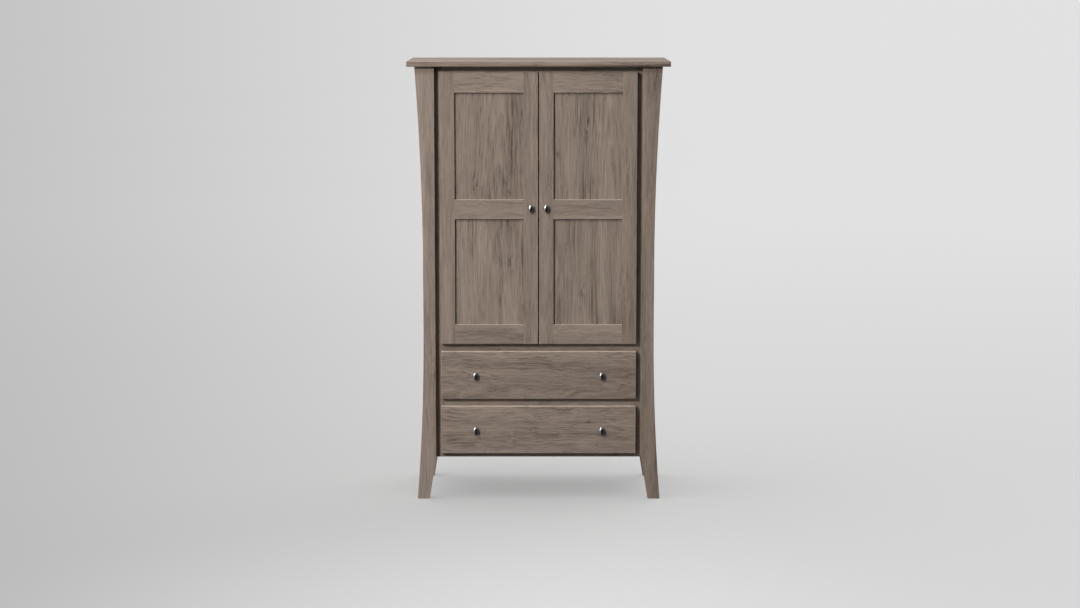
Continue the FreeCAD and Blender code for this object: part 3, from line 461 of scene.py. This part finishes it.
def new_tree(name, sizes):
    """A geometry tree that takes spots, named sizes and a finish; returns it and its inputs."""
    tree = bpy.data.node_groups.new(name, "GeometryNodeTree")
    tree.interface.new_socket("Spots", in_out="INPUT", socket_type="NodeSocketGeometry")
    for size in sizes:
        tree.interface.new_socket(size, in_out="INPUT", socket_type="NodeSocketFloat")
    tree.interface.new_socket("Finish", in_out="INPUT", socket_type="NodeSocketMaterial")
    tree.interface.new_socket("Pieces", in_out="OUTPUT", socket_type="NodeSocketGeometry")
    return tree, tree.nodes.new("NodeGroupInput").outputs


def turning(tree, rise, radius):
    """A closed turned shape, from the rise and the radius along its profile."""
    along = add(tree, "GeometryNodeSplineParameter", {}, {}, "Factor")
    first = add(tree, SUM, {"operation": "GREATER_THAN"}, {0: along, 1: 0.001})
    last = add(tree, SUM, {"operation": "LESS_THAN"}, {0: along, 1: 0.999})
    radius = add(tree, SUM, {"operation": "MULTIPLY"}, {0: radius, 1: first})
    radius = add(tree, SUM, {"operation": "MULTIPLY_ADD"}, {0: radius, 1: last, 2: -LATHE})
    drop = add(tree, SUM, {"operation": "MULTIPLY"}, {0: rise, 1: -1.0})
    spot = add(tree, "ShaderNodeCombineXYZ", {}, {"X": radius, "Y": drop})
    line = add(tree, "GeometryNodeCurvePrimitiveLine", {}, {"End": (1.0, 0.0, 0.0)})
    line = add(tree, "GeometryNodeResampleCurve", {"mode": "COUNT"}, {"Curve": line, "Count": 60})
    profile = add(tree, "GeometryNodeSetPosition", {}, {"Geometry": line, "Position": spot})
    circle = add(tree, "GeometryNodeCurvePrimitiveCircle", {}, {"Resolution": 56, "Radius": LATHE})
    shape = add(tree, "GeometryNodeCurveToMesh", {}, {"Curve": circle, "Profile Curve": profile})
    return add(tree, "GeometryNodeMergeByDistance", {}, {"Geometry": shape, "Distance": 0.003 * MM})


def set_on_spots(tree, spots, piece, finish):
    """Ends a tree: a copy of the piece on each spot, its Z axis along the spot's facing."""
    facing = add(tree, "GeometryNodeInputNamedAttribute", {"data_type": "FLOAT_VECTOR"}, {"Name": "facing"})
    turn = add(tree, "FunctionNodeAlignRotationToVector", {"axis": "Z"}, {"Vector": facing})
    copies = add(tree, "GeometryNodeInstanceOnPoints", {},
                 {"Points": spots, "Instance": piece, "Rotation": turn})
    copies = add(tree, "GeometryNodeRealizeInstances", {}, {"Geometry": copies})
    copies = add(tree, "GeometryNodeSetShadeSmooth", {}, {"Geometry": copies})
    copies = add(tree, "GeometryNodeSetMaterial", {}, {"Geometry": copies, "Material": finish})
    add(tree, "NodeGroupOutput", {}, {"Pieces": copies})


def screw_shape(tree, size):
    """A pan-head screw with a cross recess: the head stands on Z = 0 and the shank hangs below."""
    along = add(tree, "GeometryNodeSplineParameter", {}, {}, "Factor")
    left = add(tree, SUM, {"operation": "SUBTRACT"}, {0: 1.0, 1: along})
    below = add(tree, SUM, {"operation": "POWER"}, {0: left, 1: 3.0})
    whole = add(tree, SUM, {"operation": "ADD"}, {0: size["Screw Length"], 1: size["Head Height"]})
    below = add(tree, SUM, {"operation": "MULTIPLY"}, {0: below, 1: whole})
    rise = add(tree, SUM, {"operation": "SUBTRACT"}, {0: size["Head Height"], 1: below})

    lift = add(tree, SUM, {"operation": "DIVIDE", "use_clamp": True}, {0: rise, 1: size["Head Height"]})
    lift = add(tree, SUM, {"operation": "POWER"}, {0: lift, 1: 4.0})
    crown = add(tree, SUM, {"operation": "SUBTRACT"}, {0: 1.0, 1: lift})
    crown = add(tree, SUM, {"operation": "POWER"}, {0: crown, 1: 0.35})
    pan = add(tree, SUM, {"operation": "MULTIPLY"}, {0: crown, 1: size["Head Radius"]})
    from_tip = add(tree, SUM, {"operation": "ADD"}, {0: rise, 1: size["Screw Length"]})
    point = add(tree, SUM, {"operation": "MULTIPLY"}, {0: from_tip, 1: 0.7})
    shank = add(tree, SUM, {"operation": "MINIMUM"}, {0: point, 1: size["Screw Radius"]})
    is_head = add(tree, SUM, {"operation": "GREATER_THAN"}, {0: rise, 1: 0.0})
    wider = add(tree, SUM, {"operation": "SUBTRACT"}, {0: pan, 1: shank})
    radius = add(tree, SUM, {"operation": "MULTIPLY_ADD"}, {0: wider, 1: is_head, 2: shank})
    screw = turning(tree, rise, radius)

    slot_length = add(tree, SUM, {"operation": "MULTIPLY"}, {0: size["Head Radius"], 1: 1.2})
    slot_width = add(tree, SUM, {"operation": "MULTIPLY"}, {0: size["Head Radius"], 1: 0.26})
    slot = add(tree, "ShaderNodeCombineXYZ", {},
               {"X": slot_length, "Y": slot_width, "Z": size["Head Height"]})
    top = add(tree, "ShaderNodeCombineXYZ", {}, {"Z": size["Head Height"]})
    # The second slot is a hair shallower, so that the two floors don't lie in one plane.
    for quarter, depth in ((0.0, 1.0), (math.pi / 2, 0.95)):
        bit = add(tree, "GeometryNodeMeshCube", {}, {"Size": slot})
        bit = add(tree, "GeometryNodeTransform", {},
                  {"Geometry": bit, "Translation": top, "Rotation": (0.0, 0.0, quarter),
                   "Scale": (1.0, 1.0, depth)})
        screw = add(tree, "GeometryNodeMeshBoolean", {"operation": "DIFFERENCE", "solver": "MANIFOLD"},
                    {"Mesh 1": screw, "Mesh 2": bit})
    return screw


def knob_shape(tree, size):
    """A domed knob on a short flared neck, standing on Z = 0."""
    along = add(tree, "GeometryNodeSplineParameter", {}, {}, "Factor")
    turn = add(tree, SUM, {"operation": "MULTIPLY"}, {0: along, 1: math.pi / 2})
    turn = add(tree, SUM, {"operation": "SINE"}, {0: turn})
    rise = add(tree, SUM, {"operation": "MULTIPLY"}, {0: turn, 1: size["Reach"]})

    # The head is half an ellipse in front of its rim, and a shallower one behind it.
    from_rim = add(tree, SUM, {"operation": "SUBTRACT"}, {0: rise, 1: size["Rim Rise"]})
    dome = add(tree, SUM, {"operation": "SUBTRACT"}, {0: size["Reach"], 1: size["Rim Rise"]})
    ahead = add(tree, SUM, {"operation": "MAXIMUM"}, {0: from_rim, 1: 0.0})
    ahead = add(tree, SUM, {"operation": "DIVIDE"}, {0: ahead, 1: dome})
    behind = add(tree, SUM, {"operation": "MINIMUM"}, {0: from_rim, 1: 0.0})
    behind = add(tree, SUM, {"operation": "DIVIDE"}, {0: behind, 1: size["Back Depth"]})
    reach = add(tree, SUM, {"operation": "ADD"}, {0: ahead, 1: behind})
    reach = add(tree, SUM, {"operation": "MULTIPLY"}, {0: reach, 1: reach})
    swell = add(tree, SUM, {"operation": "SUBTRACT", "use_clamp": True}, {0: 1.0, 1: reach})
    swell = add(tree, SUM, {"operation": "SQRT"}, {0: swell})
    head = add(tree, SUM, {"operation": "MULTIPLY"}, {0: swell, 1: size["Half Height"]})

    # The neck flares to the foot.
    climb = add(tree, SUM, {"operation": "DIVIDE", "use_clamp": True}, {0: rise, 1: size["Rim Rise"]})
    flare = add(tree, SUM, {"operation": "SUBTRACT"}, {0: 1.0, 1: climb})
    flare = add(tree, SUM, {"operation": "POWER"}, {0: flare, 1: 5.0})
    wider = add(tree, SUM, {"operation": "SUBTRACT"}, {0: size["Foot Radius"], 1: size["Neck Radius"]})
    neck = add(tree, SUM, {"operation": "MULTIPLY_ADD"}, {0: flare, 1: wider, 2: size["Neck Radius"]})
    low = add(tree, SUM, {"operation": "LESS_THAN"}, {0: rise, 1: size["Rim Rise"]})
    neck = add(tree, SUM, {"operation": "MULTIPLY"}, {0: neck, 1: low})
    radius = add(tree, SUM, {"operation": "MAXIMUM"}, {0: head, 1: neck})
    knob = turning(tree, rise, radius)
    narrow = add(tree, SUM, {"operation": "DIVIDE"}, {0: size["Half Width"], 1: size["Half Height"]})
    shape = add(tree, "ShaderNodeCombineXYZ", {}, {"X": narrow, "Y": 1.0, "Z": 1.0})
    return add(tree, "GeometryNodeTransform", {}, {"Geometry": knob, "Scale": shape})


def grown(name, tree, spots, sizes, finish):
    """The plain mesh that a tree makes on spots, each a place and a facing."""
    mesh = bpy.data.meshes.new(f"{name}_spots")
    mesh.from_pydata([place for place, facing in spots], [], [])
    facings = mesh.attributes.new("facing", "FLOAT_VECTOR", "POINT")
    for entry, (place, facing) in zip(facings.data, spots):
        entry.vector = facing
    holder = bpy.data.objects.new(f"{name}_spots", mesh)
    scene.collection.objects.link(holder)
    modifier = holder.modifiers.new("turnings", "NODES")
    modifier.node_group = tree
    for socket in tree.interface.items_tree:
        if socket.name in sizes:
            modifier[socket.identifier] = sizes[socket.name] * MM
        elif socket.name == "Finish":
            modifier[socket.identifier] = finish
    drawn = bpy.data.meshes.new_from_object(holder.evaluated_get(bpy.context.evaluated_depsgraph_get()))
    bpy.data.objects.remove(holder)
    shape = bmesh.new()
    shape.from_mesh(drawn)
    bmesh.ops.dissolve_degenerate(shape, dist=SPECK, edges=shape.edges)
    bmesh.ops.recalc_face_normals(shape, faces=shape.faces)
    shape.to_mesh(drawn)
    shape.free()
    drawn.set_sharp_from_angle(angle=math.radians(30))
    return drawn


def solids(name):
    """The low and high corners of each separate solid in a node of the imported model."""
    shape = bmesh.new()
    shape.from_mesh(frame["nodes"][name].data)
    bmesh.ops.remove_doubles(shape, verts=shape.verts, dist=WELD)
    waiting = set(shape.verts)
    boxes = []
    while waiting:
        solid = [waiting.pop()]
        for vert in solid:
            for edge in vert.link_edges:
                other = edge.other_vert(vert)
                if other in waiting:
                    waiting.remove(other)
                    solid.append(other)
        low = Vector(min(vert.co[i] for vert in solid) for i in range(3))
        high = Vector(max(vert.co[i] for vert in solid) for i in range(3))
        boxes.append((low, high))
    shape.free()
    return boxes


SCREW_SIZES = {"Screw Radius": 1.5, "Screw Length": 13.2, "Head Radius": 3.0, "Head Height": 1.0}
screw_tree, screw_size = new_tree("pan_head_screw", SCREW_SIZES)
set_on_spots(screw_tree, screw_size["Spots"], screw_shape(screw_tree, screw_size), screw_size["Finish"])

KNOB_SIZES = {
    "Half Height": 16.5, "Half Width": 11.2, "Reach": 16.5, "Rim Rise": 8.5, "Back Depth": 4.5,
    "Neck Radius": 4.6, "Foot Radius": 7.5, "Front Thickness": 19.0,
    "Screw Radius": 1.95, "Screw Length": 29.0, "Head Radius": 4.0, "Head Height": 2.0,
}
knob_tree, knob_size = new_tree("turned_knob", KNOB_SIZES)
back = add(knob_tree, SUM, {"operation": "MULTIPLY"}, {0: knob_size["Front Thickness"], 1: -1.0})
back = add(knob_tree, "ShaderNodeCombineXYZ", {}, {"Z": back})
knob_screw = add(knob_tree, "GeometryNodeTransform", {},
                 {"Geometry": screw_shape(knob_tree, knob_size), "Translation": back,
                  "Rotation": (math.pi, 0.0, 0.0)})
joined = knob_tree.nodes.new("GeometryNodeJoinGeometry")
for shape in (knob_shape(knob_tree, knob_size), knob_screw):
    knob_tree.links.new(shape, joined.inputs[0])
set_on_spots(knob_tree, knob_size["Spots"], joined.outputs[0], knob_size["Finish"])

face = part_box("left_door_meeting_stile")[0].y
knobs = []
for node_name in frame["nodes"]:
    if not node_name.endswith(TURNED):
        continue
    spots = []
    for low, high in solids(node_name):
        middle = (low + high) / 2
        if node_name.endswith("hinge_frame_screws"):
            inwards = -math.copysign(1, middle.x)
            head = low.x if inwards < 0 else high.x
            under_head = head - inwards * SCREW_SIZES["Head Height"] * MM
            spots.append(((under_head, middle.y, middle.z), (inwards, 0, 0)))
        elif node_name.endswith("screws"):
            spots.append(((middle.x, high.y - SCREW_SIZES["Head Height"] * MM, middle.z), (0, 1, 0)))
        elif high.x - low.x > 4 * KNOB_SIZES["Head Radius"] * MM:
            spots.append(((middle.x, face, middle.z), (0, -1, 0)))
    is_screw = node_name.endswith("screws")
    tree, sizes = (screw_tree, SCREW_SIZES) if is_screw else (knob_tree, KNOB_SIZES)
    mesh = grown(node_name, tree, spots, sizes, FINISHES[SLOT_OF[node_name]])
    piece = put_in_place(f"{node_name}_turned", mesh, node_name)
    if not is_screw:
        knobs.append(piece)


# Studio: a pale floor, a soft sky, and a key light from the upper left in front.
# How strongly the studio glows where it is even.
EVEN_GLOW = 0.36
# What the paper floor gives back of the sky's own light.
PAPER_SHINE = 0.33


def studio_glow(tree, across, ahead):
    """The glow toward a bearing from the front of the studio: dimmer to the left, even behind it."""
    bearing = add(tree, SUM, {"operation": "ARCTAN2"}, {0: across, 1: ahead})
    fan = add(tree, RANGE, {"interpolation_type": "SMOOTHSTEP"},
              {"Value": bearing, "From Min": -0.36, "From Max": 0.09, "To Min": 0.16, "To Max": 0.41})
    left = add(tree, RANGE, {"interpolation_type": "SMOOTHSTEP"},
               {"Value": bearing, "From Min": -2.2, "From Max": -0.235, "To Min": 1.0, "To Max": 0.0})
    right = add(tree, RANGE, {"interpolation_type": "SMOOTHSTEP"},
                {"Value": bearing, "From Min": 0.4, "From Max": 2.2})
    even = add(tree, SUM, {"operation": "MAXIMUM"}, {0: left, 1: right})
    return add(tree, BLEND, {"data_type": "FLOAT"}, {0: even, 2: fan, 3: EVEN_GLOW})


def studio_floor():
    """Pale paper that glows a little, so that it stays bright where no lamp reaches it."""
    material, tree = new_material("studio_paper_matt")
    place = add(tree, "ShaderNodeTexCoord", {}, {}, "Object")

    # The glow spreads as a fan from the front of the studio, and is brighter far off.
    front = (0.0, -9.9, 0.0)
    from_front = add(tree, SHIFT, {"operation": "SUBTRACT"}, {0: place, 1: front})
    across = add(tree, "ShaderNodeSeparateXYZ", {}, {0: from_front}, "X")
    ahead = add(tree, "ShaderNodeSeparateXYZ", {}, {0: from_front}, "Y")
    fan = studio_glow(tree, across, ahead)
    away = add(tree, SHIFT, {"operation": "LENGTH"}, {0: from_front}, "Value")
    depth = add(tree, RANGE, {"interpolation_type": "SMOOTHSTEP"},
                {"Value": away, "From Min": 9.4, "From Max": 22.0, "To Min": 0.84, "To Max": 1.0})
    glow = add(tree, SUM, {"operation": "MULTIPLY"}, {0: fan, 1: depth})

    # A soft pool of light in front of the cabinet.
    from_pool = add(tree, SHIFT, {"operation": "DISTANCE"}, {0: place, 1: (-0.3, -2.7, 0.0)}, "Value")
    pool = add(tree, RANGE, {"interpolation_type": "SMOOTHSTEP"},
               {"Value": from_pool, "From Min": 0.1, "From Max": 2.2, "To Min": 0.09, "To Max": 0.0})
    glow = add(tree, SUM, {"operation": "ADD"}, {0: glow, 1: pool})

    # It is even round the place where the fan begins.
    even = add(tree, RANGE, {"interpolation_type": "SMOOTHSTEP"},
               {"Value": away, "From Min": 3.0, "From Max": 7.6, "To Min": 1.0, "To Max": 0.0})
    glow = add(tree, BLEND, {"data_type": "FLOAT"}, {0: even, 2: glow, 3: EVEN_GLOW})
    cloud = add(tree, NOISE, {}, {"Vector": place, "Scale": 0.2, "Detail": 1.0}, "Fac")
    colour = add(tree, BLEND, {"data_type": "RGBA"},
                 {0: cloud, 6: linear("#adadad"), 7: linear("#b0b0b0")}, 2)
    finish_material(tree, {"Base Color": colour, "Roughness": 0.9, "Specular IOR Level": 0.1,
                           "Emission Color": linear("#ffffff"), "Emission Strength": glow})
    mesh = bpy.data.meshes.new("studio_floor")
    reach = 400
    mesh.from_pydata([(-reach, -reach, 0), (reach, -reach, 0), (reach, reach, 0), (-reach, reach, 0)],
                     [], [(0, 1, 2, 3)])
    mesh.materials.append(material)
    floor = bpy.data.objects.new("studio_floor", mesh)
    scene.collection.objects.link(floor)
    floor.visible_diffuse = False
    floor.visible_glossy = False
    floor.visible_shadow = False
    return floor


def studio_sky():
    """Soft light from all round, brightest from above and from the left."""
    world = bpy.data.worlds.new("studio_sky")
    world.use_nodes = True
    tree = world.node_tree
    tree.nodes.clear()
    direction = add(tree, "ShaderNodeTexCoord", {}, {}, "Generated")
    height = add(tree, "ShaderNodeSeparateXYZ", {}, {0: direction}, "Z")
    up = add(tree, SUM, {"operation": "MAXIMUM"}, {0: height, 1: 0.0})
    up = add(tree, SUM, {"operation": "POWER"}, {0: up, 1: 2.0})
    strength = add(tree, SUM, {"operation": "MULTIPLY_ADD"}, {0: up, 1: 1.0, 2: 0.02})
    # Bright side walls, the left one more than the right.
    sideways = add(tree, "ShaderNodeSeparateXYZ", {}, {0: direction}, "X")
    side = add(tree, SUM, {"operation": "MULTIPLY"}, {0: sideways, 1: sideways})
    wall = add(tree, RANGE, {},
               {"Value": sideways, "From Min": -0.4, "From Max": 0.4, "To Min": 1.3, "To Max": 0.08})
    strength = add(tree, SUM, {"operation": "MULTIPLY_ADD"}, {0: side, 1: wall, 2: strength})
    # Dimmer walls behind the cabinet and behind to its right, for its back and its far side.
    ahead = add(tree, "ShaderNodeSeparateXYZ", {}, {0: direction}, "Y")
    backward = add(tree, SUM, {"operation": "MAXIMUM"}, {0: ahead, 1: 0.0})
    rightward = add(tree, SUM, {"operation": "MAXIMUM"}, {0: sideways, 1: 0.0})
    rear = add(tree, SUM, {"operation": "MULTIPLY_ADD"}, {0: rightward, 1: 1.2, 2: 0.2})
    strength = add(tree, SUM, {"operation": "MULTIPLY_ADD"}, {0: backward, 1: rear, 2: strength})
    # What is seen of it above the floor is as pale as the far floor.
    pale = studio_glow(tree, sideways, ahead)
    pale = add(tree, SUM, {"operation": "ADD"}, {0: pale, 1: PAPER_SHINE})
    seen = add(tree, "ShaderNodeLightPath", {}, {}, "Is Camera Ray")
    strength = add(tree, BLEND, {"data_type": "FLOAT"}, {0: seen, 2: strength, 3: pale})
    light = add(tree, "ShaderNodeBackground", {}, {"Color": linear("#ffffff"), "Strength": strength})
    add(tree, "ShaderNodeOutputWorld", {}, {"Surface": light})
    scene.world = world


def softbox(name, toward, distance, width, height, watts):
    """A flat oval lamp that shines on the cabinet from the given direction."""
    light = bpy.data.lights.new(name, "AREA")
    light.shape = "ELLIPSE"
    light.size = width
    light.size_y = height
    light.energy = watts
    lamp = bpy.data.objects.new(name, light)
    scene.collection.objects.link(lamp)
    direction = Vector(toward).normalized()
    lamp.location = Vector((0, -0.24, 0.95)) + direction * distance
    lamp.rotation_euler = direction.to_track_quat("Z", "Y").to_euler()
    lamp.visible_camera = False
    return lamp


def limit_light(lamp, pieces, state):
    """Makes a lamp leave the pieces out (EXCLUDE), or light nothing but them (INCLUDE)."""
    group = bpy.data.collections.new(f"{lamp.name}_pieces")
    lamp.light_linking.receiver_collection = group
    for piece in pieces:
        group.objects.link(piece)
    for entry in group.collection_objects:
        entry.light_linking.link_state = state


def photo_camera():
    """The view of the photograph: from far in front, a little above the cabinet."""
    camera = bpy.data.cameras.new("photo_camera")
    camera.sensor_width = 36
    camera.lens = 76.97
    camera.clip_end = 1000
    view = bpy.data.objects.new("photo_camera", camera)
    scene.collection.objects.link(view)
    view.location = (0.006, -9.881, 2.167)
    view.rotation_euler = (math.radians(82.14), 0, 0)
    scene.camera = view


floor = studio_floor()
studio_sky()
key_light = softbox("key_light", (-0.82, -1.0, 0.65), 8, 1.1, 1.1, 475)
key_light.visible_glossy = False
limit_light(key_light, [floor], "EXCLUDE")
front_light = softbox("front_light", (-0.55, -0.6, 1.0), 8, 1.4, 1.4, 230)
limit_light(front_light, [floor], "EXCLUDE")
top_light = softbox("top_light", (-0.3, 0.12, 1.0), 8, 3.0, 3.0, 360)
limit_light(top_light, [floor], "EXCLUDE")
# A lamp in front that reaches nothing but the inside of the bays and their fittings.
bay_light = softbox("bay_light", (0.12, -1.0, 0.2), 9, 3.0, 3.0, 420)
limit_light(bay_light, inner_pieces, "INCLUDE")
# A broad panel beside the camera that only the knobs mirror, as a large highlight.
broad_light = softbox("broad_light", (-1.0, -1.0, 0.58), 9, 5.6, 7.2, 850)
broad_light.visible_diffuse = False
limit_light(broad_light, knobs, "INCLUDE")
photo_camera()
scene.view_settings.view_transform = "Standard"
